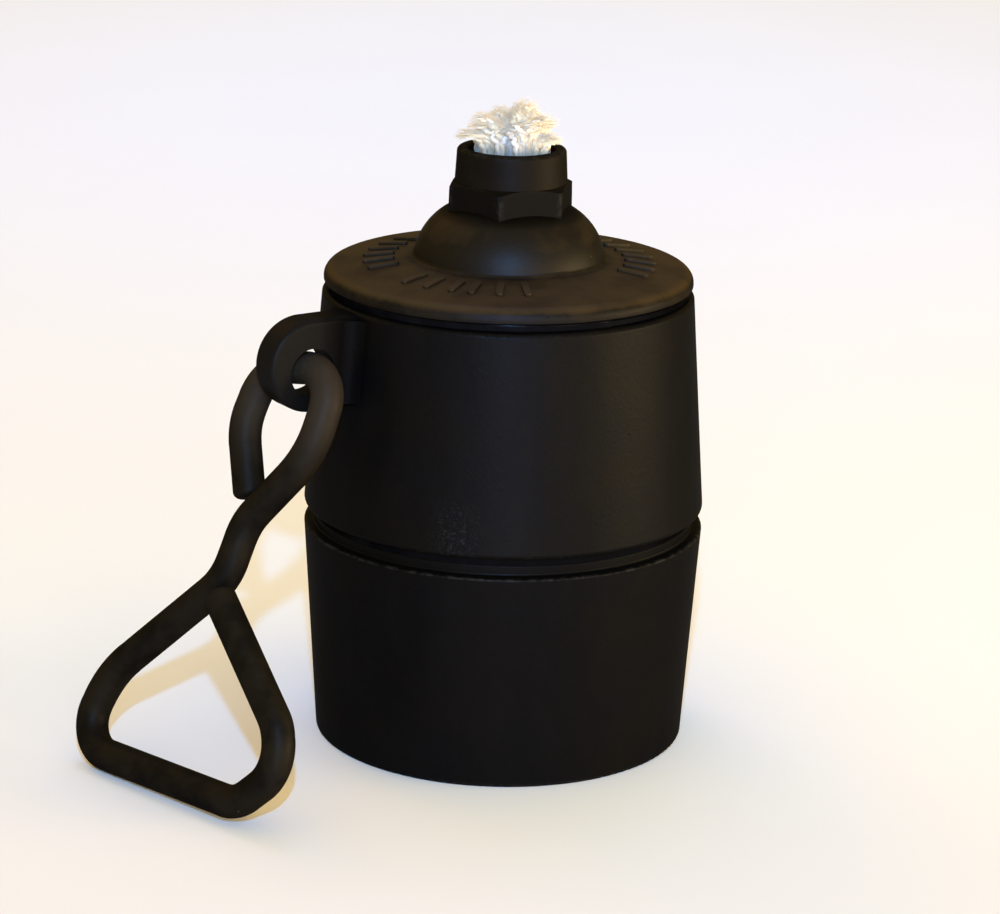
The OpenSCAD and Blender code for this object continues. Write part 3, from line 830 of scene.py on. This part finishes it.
class TORCH_OT_finish_lid(bpy.types.Operator):
    """Gives the lid its brown black, with rubbed bars, corners and spout lip and flange edge lightened partly
    as wear and partly as painted highlight, painted shade at the bars' feet and the dome's foot, pale dust and
    a bare screwed plug
    """

    bl_idname = "torch.finish_lid"
    bl_label = "Finish the lid"

    def execute(self, context):
        iron = context.scene.torch_lamp.iron
        f = Finish("lid iron", iron.lid, LID_GLAZE, Specular_IOR_Level=0.0)
        blotch = f.noise(16 * MM, 3, 0.6)
        mottle = f.noise(3 * MM, 3, 0.6)
        high = f.z - Z_LID
        # Painted shade: a dark ring where the dome meets the flange, added into dark
        dome_foot_shade = f.near(f.r, DOME_R - 0.5 * MM, 0.6 * MM, 3 * MM) * f.rise(high, 16 * MM, 12 * MM)
        dark = f.rise(high, 6 * MM, 9 * MM) * 0.72 + f.rise(high, 18 * MM, 22 * MM) * 0.25 + dome_foot_shade * 0.4
        dark = dark + f.rise(high, 3.8 * MM, 2 * MM) * 0.9 + f.rise(blotch, 0.42, 0.7) * 0.45
        spanner = f.near(high, HEX_MIDDLE, 4.2 * MM, 1 * MM)
        spanner = spanner * f.rise(f.r, HEX_FLAT_R - 1.3 * MM, HEX_FLAT_R - 0.7 * MM)
        colour = f.mix(f.math("MINIMUM", dark, 1.0), iron.lid, iron.lid_dark)
        colour = f.mix(spanner * 0.7, colour, (0.001, 0.001, 0.001))
        f.glaze_by(
            LID_GLAZE.share - f.rise(high, 19 * MM, 22 * MM) * 0.22 - f.rise(high, 4.2 * MM, 2.6 * MM) * 0.14
        )

        slope = CROWN_RISE / (LID_R - DOME_R)
        over_flange = high - EDGE_H - (LID_R - f.r) * slope
        ring_of_bars = f.near(f.r, BARS_R, BARS_HALF, 0.8 * MM)
        bars = f.rise(over_flange, 0.25 * MM, 0.6 * MM) * ring_of_bars
        beside = f.rise(over_flange, 0.02 * MM, 0.1 * MM) * ring_of_bars
        # The hexagon's corners, the spout's lip and the flange's edge are lightened with the worn grey: partly
        # rubbed wear, partly painted highlight
        corners = f.rise(f.r, HEX_FLAT_R + 1.5 * MM, HEX_FLAT_R + 2.2 * MM)
        corners = corners * f.near(high, HEX_MIDDLE + 1 * MM, 3 * MM, 1 * MM)
        lip = f.near(f.z, Z_SPOUT - 0.3 * MM, 0.2 * MM, 0.6 * MM)
        edge = f.near(high, 2.3 * MM, 0.8 * MM, 0.9 * MM) * f.rise(f.r, LID_R - 1.2 * MM, LID_R - 0.4 * MM)
        worn = bars * 0.12 + broken(f, corners) * 0.15
        worn = worn + broken(f, lip, low=0.46, high=0.6) * 0.12 + broken(f, edge) * 0.03
        worn = f.math("MINIMUM", worn, 1.0)

        up = f.node("ShaderNodeSeparateXYZ", values={0: f.node("ShaderNodeTexCoord", out="Normal")}, out=2)
        specks = f.dots(6.5 * MM, 0.3 * MM, 0.35) * f.rise(up, 0.1, 0.5)
        lint = f.rise(f.noise(0.9 * MM, 3, 0.7, (1, 0.3, 1)), 0.73, 0.78) * f.rise(up, 0.3, 0.8) * 0.35
        cut = f.rise(f.z, Z_LID - 0.4 * MM, Z_LID - 0.6 * MM)
        cut = cut * f.rise(f.r, PLUG_R - 1.2 * MM, PLUG_R - 0.5 * MM)
        hollow = f.rise(f.r, HOLLOW_R + 0.6 * MM, HOLLOW_R) * f.rise(f.z, Z_LID + 1 * MM, Z_LID)
        # Painted shade: the bars' feet, just above the flange, are darkened so that the bars read with dark
        # outlines
        colour = f.mix((beside - bars) * 0.7, colour, (0.004, 0.003, 0.002))
        # Worn grey: wear on the bars, and wear with painted highlight on the corners, the spout's lip and the
        # flange's edge
        colour = f.mix(worn * 0.55, colour, iron.worn)
        colour = f.mix(hollow, colour, iron.oiled)
        colour = f.mix(cut * (0.6 + mottle * 0.4), colour, iron.bare)
        colour = f.mix(f.math("MINIMUM", specks + lint, 1.0), colour, iron.dust)
        f.feed(
            Base_Color=colour,
            Metallic=cut * 0.8 + worn * 0.25,
            Roughness=iron.roughness - 0.02 + mottle * 0.12 - cut * 0.12 + specks * 0.3,
        )
        f.bump(cast_skin(f, 0.9) * (1 - cut * 0.85) + tool_rings(f) * cut * 0.01 + specks * 0.08)
        f.dress(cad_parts["lid"])
        return {"FINISHED"}


class TORCH_OT_finish_handle(bpy.types.Operator):
    """Gives the bent bar its black, rubbed where it hangs in the lug and where the grip meets the floor"""

    bl_idname = "torch.finish_handle"
    bl_label = "Finish the handle"

    def execute(self, context):
        iron = context.scene.torch_lamp.iron
        f = Finish("bar iron", iron.bar, BAR_GLAZE, Specular_IOR_Level=0.0)
        blotch = f.noise(12 * MM, 3, 0.6)
        mottle = f.noise(2.5 * MM, 3, 0.6)
        colour = f.mix(f.rise(blotch, 0.4, 0.7), iron.bar, iron.barrel_brown)
        dx, dy, dz = f.x - HOLE[0], f.y - HOLE[1], f.z - HOLE[2]
        far = f.math("SQRT", dx * dx + dy * dy + dz * dz)
        rubbed = f.rise(far, 34 * MM, 14 * MM)
        scuffed = f.rise(f.z, 2.5 * MM, 0.5 * MM)
        colour = f.mix(rubbed * (0.6 + mottle * 0.4), colour, iron.bar_rubbed)
        worn = broken(f, f.rise(far, 9 * MM, 6 * MM), 1.2 * MM, 0.5, 0.7) * 0.15
        worn = worn + broken(f, scuffed, 1.2 * MM) * 0.4
        specks = f.dots(5 * MM, 0.22 * MM, 0.3)
        colour = f.mix(worn * 0.6, colour, iron.worn)
        colour = f.mix(specks * 0.8, colour, iron.dust)
        f.feed(
            Base_Color=colour,
            Metallic=worn * 0.4,
            Roughness=iron.roughness - 0.06 + mottle * 0.14 - worn * 0.12,
        )
        forged = f.noise(14 * MM, 1) * 0.22 + f.noise(4 * MM, 2) * 0.06
        f.bump(forged + f.noise(0.9 * MM, 3, 0.6) * 0.04 + f.dots(4 * MM, 0.4 * MM, 0.25) * -0.1)
        f.dress(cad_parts["handle"])
        return {"FINISHED"}


class TORCH_OT_finish_seals(bpy.types.Operator):
    """Gives the two sealing rings a smooth black with a soft gloss"""

    bl_idname = "torch.finish_seals"
    bl_label = "Finish the seals"

    def execute(self, context):
        f = Finish("seal rubber", (0.003, 0.003, 0.004), SEAL_GLAZE, Specular_IOR_Level=0.0)
        bloom = f.rise(f.noise(7 * MM, 4, 0.6), 0.45, 0.75)
        lint = f.dots(4 * MM, 0.15 * MM, 0.3)
        colour = f.mix(bloom * 0.5, (0.0015, 0.0015, 0.002), (0.004, 0.004, 0.005))
        colour = f.mix(lint * 0.1, colour, (0.3, 0.28, 0.25))
        f.feed(Base_Color=colour, Roughness=0.4 + bloom * 0.2)
        f.bump(f.noise(2 * MM, 3, 0.6) * 0.02 + f.noise(0.3 * MM, 1) * 0.008)
        f.dress(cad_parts["joint_washer"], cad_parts["lid_washer"])
        return {"FINISHED"}


class TORCH_OT_cut_threads(bpy.types.Operator):
    """Adds the ridges of the four screw threads: neck and socket, plug and mouth"""

    bl_idname = "torch.cut_threads"
    bl_label = "Cut the screw threads"

    def execute(self, context):
        looks = context.scene.torch_lamp
        iron, thread = looks.iron, looks.thread
        f = Finish("thread iron", iron.bare, Specular_IOR_Level=0.4)
        mottle = f.noise(1.6 * MM, 4, 0.65)
        grime = f.rise(f.noise(5 * MM, 4, 0.6), 0.4, 0.7)
        colour = f.mix(grime * 0.7, iron.bare, iron.oiled)
        f.feed(Base_Color=colour, Metallic=0.85 - grime * 0.4, Roughness=0.3 + mottle * 0.2 + grime * 0.1)
        f.bump(mottle * 0.03)
        half = thread.pitch / 2
        # Name, body, radius of the wall, its side, lowest and highest level, and lag of the helix
        ridges = (
            ("neck_thread", "lower", NECK_R, 1, Z_SEAT + 1.3 * MM, Z_NECK - 1.2 * MM, 0.0),
            ("socket_thread", "upper", SOCKET_R, -1, Z_UNDER + 1.6 * MM, Z_NECK + 0.2 * MM, half),
            ("plug_thread", "lid", PLUG_R, 1, Z_PLUG + 1.2 * MM, Z_LID - 1.3 * MM, 0.0),
            ("mouth_thread", "upper", MOUTH_R, -1, Z_PLUG + 0.4 * MM, Z_RIM - 1.5 * MM, half),
        )
        for name, body, base, side, low, high, lag in ridges:
            piece = put_mesh(name, *helical_ridge(base, side, low, high, lag, thread), f.material)
            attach(piece, body)
        return {"FINISHED"}


def cotton(name, wick, strands):
    """Cotton with fine fibres across it. Frayed strands run from cream to white, each in its own tone, with
    the front clump's strands whiter as painted light, and darken towards the root as painted shade. The rope
    is browner with oil, and dark in the grooves of its plait as painted shade."""
    sheen = {"Sheen_Weight": 0.25, "Sheen_Roughness": 0.5}
    f = Finish(name, wick.cream, Roughness=0.9, Specular_IOR_Level=0.15, **sheen)
    fine = f.noise(0.25 * MM, 2, 0.6, (1, 1, 0.35))
    if strands:
        tone, reach = f.attribute("tone"), f.attribute("reach")
        colour = f.mix(tone, wick.cream, wick.white)
        # Painted shade: each strand darkens towards its root, down in the bore and under the clumps
        colour = f.mix(f.rise(reach, 0.5, 0.1) * 0.6, colour, (0.3, 0.28, 0.26))
        height = fine * 0.05
    else:
        colour = f.mix(f.rise(f.noise(6 * MM, 3), 0.35, 0.65) * 0.35, (0.34, 0.265, 0.15), wick.cream)
        # Painted shade: the hollows between the plait's strands are darkened
        plait_hollow_shade = f.rise(f.r, BORE_R - 0.6 * MM, BORE_R - 1.2 * MM)
        colour = f.mix(plait_hollow_shade * 0.7, colour, (0.1, 0.075, 0.04))
        height = fine * 0.08
    colour = f.mix(f.rise(fine, 0.5, 0.2) * 0.25, colour, (0.5, 0.44, 0.34))
    f.feed(Base_Color=colour)
    f.bump(height)
    return f.material


class TORCH_OT_plait_rope(bpy.types.Operator):
    """Plaits the wick's rope from the oil space up to the spout"""

    bl_idname = "torch.plait_rope"
    bl_label = "Plait the wick's rope"

    def execute(self, context):
        wick = context.scene.torch_lamp.wick
        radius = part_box("wick_rope")[1].x
        points, faces = plaited_rope(radius, Z_ROPE_FOOT, Z_ROPE_TOP, wick)
        rope = put_mesh("wick_plait", points, faces, cotton("rope cotton", wick, False))
        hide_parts("wick_rope")
        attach(rope, "wick")
        return {"FINISHED"}


class TORCH_OT_fray_wick(bpy.types.Operator):
    """Frays the wick's end into crinkled yarns and loose fibres over the spout's lip"""

    bl_idname = "torch.fray_wick"
    bl_label = "Fray the wick's end"

    def execute(self, context):
        looks = context.scene.torch_lamp
        wick = looks.wick
        axes = picture_axes(looks.stage.azimuth)
        rng = np.random.default_rng(wick.seed)
        material = cotton("frayed cotton", wick, True)
        # Name, count, steps along and sides of each strand, how far into its clump it reaches, size and
        # number of its crinkles, and its radius in millimetres
        kinds = (
            ("wick_yarns", wick.yarns, 26, 8, (0.2, 0.92), 0.45, (2.5, 5), 0.72),
            ("wick_fibres", wick.fibres, 12, 3, (0.7, 1.16), 0.6, (2, 4), 0.075),
        )
        for name, count, steps, sides, reach, crinkle, waves, thick in kinds:
            path, across, pick = frayed_paths(rng, count, steps, reach, crinkle, waves)
            path = clear_of_lip(path, thick) @ axes * MM + (0, 0, Z_SPOUT)
            s = np.linspace(0, 1, steps)[None, :, None]
            a = TURN * np.arange(sides)[None, None, :] / sides
            twist = 1 + (0.2 * np.cos(2 * a - 14 * s) if sides > 4 else 0)
            size = thick * rng.uniform(0.75, 1.25, (count, 1, 1))
            radii = size * twist * (1.1 - 0.75 * s**3) * MM + 0 * a
            points, faces = tubes(path, radii, across @ axes)
            # Painted light: the strands of the front clump lean to white, as the light from the camera's side
            # falls on them
            front = CLUMPS[pick, 1] > 3
            tone = np.clip(rng.normal(0.35, 0.25, count) + 0.4 * front, 0, 1)
            places = np.tile(np.repeat(s[0, :, 0], sides), count)
            layers = {
                "tone": strand_layer(tone, steps, sides),
                "reach": np.concatenate([places, np.zeros(count), np.ones(count)]),
            }
            piece = put_mesh(name, points, faces, material, layers)
            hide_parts("wick_tuft")
            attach(piece, "wick")
        return {"FINISHED"}


def hang_lamp(kind, name, power, colour, place, aim=(0, 0, 0.09), **settings):
    """A lamp of the given kind, which shines from place towards aim. Power is in watts, or W/m2 for a SUN."""
    data = bpy.data.lights.new(name, kind)
    data.energy, data.color = power, colour
    for setting, value in settings.items():
        setattr(data, setting, value)
    made = bpy.data.objects.new(name, data)
    made.location = place
    made.rotation_mode = "QUATERNION"
    made.rotation_quaternion = (Vector(aim) - Vector(place)).to_track_quat("-Z", "Y")
    bpy.context.scene.collection.objects.link(made)


class TORCH_OT_set_stage(bpy.types.Operator):
    """Lays the pale floor and sets the lamps, the world and the camera"""

    bl_idname = "torch.set_stage"
    bl_label = "Set the stage"

    def execute(self, context):
        scene = context.scene
        stage = scene.torch_lamp.stage
        f = Finish("pale paper", stage.floor, Roughness=0.95, Specular_IOR_Level=0.1)
        # Painted light: the paper's tint shifts nearer the camera and far behind the lamp, standing in for the
        # room's uneven light
        nearer = f.x * math.sin(stage.azimuth) - f.y * math.cos(stage.azimuth)
        colour = f.mix(f.rise(nearer, -0.1, 0.2), stage.floor, stage.floor_near)
        colour = f.mix(f.rise(nearer, -0.45, -1.6), colour, stage.floor_far)
        mottled = f.mix(f.noise(150 * MM, 2), (0.985, 0.985, 0.985), (1.015, 1.015, 1.015))
        f.feed(Base_Color=f.tint(colour, mottled))
        f.bump(f.noise(0.8 * MM, 2) * 0.02)
        reach = 14.0
        corners = np.array([(-1, -1, 0), (1, -1, 0), (1, 1, 0), (-1, 1, 0)]) * reach - (0, 0, FLOOR_DROP)
        floor = put_mesh("floor", corners, [np.array([[0, 1, 2, 3]])], f.material)

        turned = Matrix.Rotation(stage.azimuth, 3, "Z")

        def at(across, nearer, up):
            """A place in metres across the picture, towards the camera and up from the foot's centre."""
            return turned @ Vector((across, -nearer, up))

        eye = at(0, stage.distance * math.cos(stage.elevation), stage.distance * math.sin(stage.elevation))
        facing = turned @ Matrix.Rotation(stage.yaw, 3, "Z") @ Matrix.Rotation(-stage.pitch, 3, "X")
        rolled = facing @ Matrix.Rotation(math.radians(90), 3, "X") @ Matrix.Rotation(-stage.roll, 3, "Z")
        data = bpy.data.cameras.new("camera")
        data.lens, data.sensor_width = stage.lens, 36
        data.clip_start, data.clip_end = 0.05, 60
        camera = bpy.data.objects.new("camera", data)
        camera.matrix_world = Matrix.Translation(eye) @ rolled.to_4x4()
        scene.collection.objects.link(camera)
        scene.camera = camera

        strip = {"shape": "RECTANGLE", "size": 1.0, "size_y": 0.16}
        hang_lamp("POINT", "flash", 51, stage.flash, eye + at(0, 0, 0.2), shadow_soft_size=0.015)
        hang_lamp("AREA", "front lamp", 10, stage.front, at(0.05, 1.6, 0.2), size=0.5)
        hang_lamp("AREA", "corner lamp", 5, stage.right, at(0.8, 1.2, 0.2), size=0.4)
        hang_lamp("AREA", "right lamp", 24, stage.right, at(1.3, 0.25, 0.15), **strip)
        soft = math.radians(30)
        hang_lamp("SUN", "rear lamp", 0.6, stage.rear, at(-0.5, -0.7, 0.6), aim=(0, 0, 0), angle=soft)
        # Two lamps behind the torch that shine straight down: name, power, distance back, height, size, beam
        downlights = (("far lamp", 7.0, 2.2, 2.0, 1.6, 100), ("back lamp", 6.2, 1.0, 1.6, 1.2, 90))
        for name, power, back, up, size, beam in downlights:
            over, under = at(0, -back, up), at(0, -back, 0)
            hang_lamp("AREA", name, power, stage.far, over, aim=under, size=size, spread=math.radians(beam))

        world = bpy.data.worlds.new("room")
        world.use_nodes = True
        glow = world.node_tree.nodes["Background"]
        glow.inputs["Color"].default_value = (*stage.room, 1)
        glow.inputs["Strength"].default_value = 1.0
        scene.world = world
        scene.view_settings.view_transform = "Standard"
        return {"FINISHED"}


class TORCH_PT_panel(bpy.types.Panel):
    """Lists the lamp's operators and settings"""

    bl_idname = "TORCH_PT_panel"
    bl_label = "Torch lamp"
    bl_space_type = "VIEW_3D"
    bl_region_type = "UI"
    bl_category = "Torch lamp"

    def draw(self, context):
        looks = context.scene.torch_lamp
        for group in (looks.iron, looks.thread, looks.wick, looks.stage):
            box = self.layout.box()
            for name in group.__annotations__:
                box.prop(group, name)
        for step in STEPS:
            self.layout.operator("torch." + step)


STEPS = (
    "finish_barrel",
    "finish_lid",
    "finish_handle",
    "finish_seals",
    "cut_threads",
    "plait_rope",
    "fray_wick",
    "set_stage",
)
CLASSES = (
    LampIron,
    LampThread,
    LampWick,
    LampStage,
    LampSettings,
    TORCH_OT_finish_barrel,
    TORCH_OT_finish_lid,
    TORCH_OT_finish_handle,
    TORCH_OT_finish_seals,
    TORCH_OT_cut_threads,
    TORCH_OT_plait_rope,
    TORCH_OT_fray_wick,
    TORCH_OT_set_stage,
    TORCH_PT_panel,
)


def register():
    """Adds the classes and the scene's settings."""
    for cls in CLASSES:
        bpy.utils.register_class(cls)
    bpy.types.Scene.torch_lamp = bpy.props.PointerProperty(type=LampSettings)


def unregister():
    """Takes the settings and the classes out again."""
    del bpy.types.Scene.torch_lamp
    for cls in reversed(CLASSES):
        bpy.utils.unregister_class(cls)


def main():
    """Makes everything in order."""
    register()
    for step in STEPS:
        getattr(bpy.ops.torch, step)()


if __name__ == "__main__":
    main()
